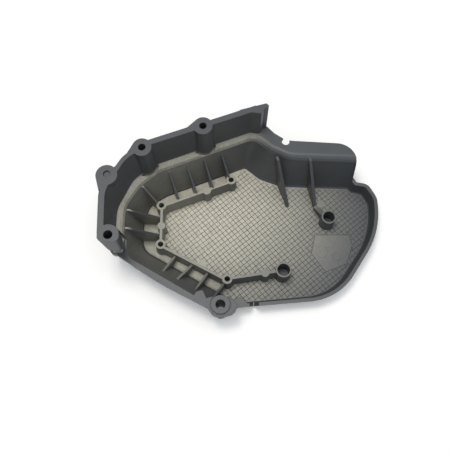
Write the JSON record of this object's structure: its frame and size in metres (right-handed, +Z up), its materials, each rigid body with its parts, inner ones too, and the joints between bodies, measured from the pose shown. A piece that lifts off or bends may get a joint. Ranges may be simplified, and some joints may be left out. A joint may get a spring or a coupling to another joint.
{
  "type": "sprocket cover",
  "caption": "Moulded sprocket cover: open ribbed bowl with a high flanged wall on one side, a flat wing and a low rounded end, screw bosses and a drain gap.",
  "frame": {"origin": "about the middle of the outline in plan, at the level of the flat outer face it lies on", "axes": "+X along the length, towards the low rounded end; +Y towards the high flanged wall; +Z up, out of the open side"},
  "size_m": [0.2494, 0.1768, 0.079],
  "materials": {
    "black_nylon": "moulded glass-filled nylon, satin, fine grain"
  },
  "bodies": {
    "root": {"sprocket_cover": "black_nylon"}
  },
  "joints": []
}
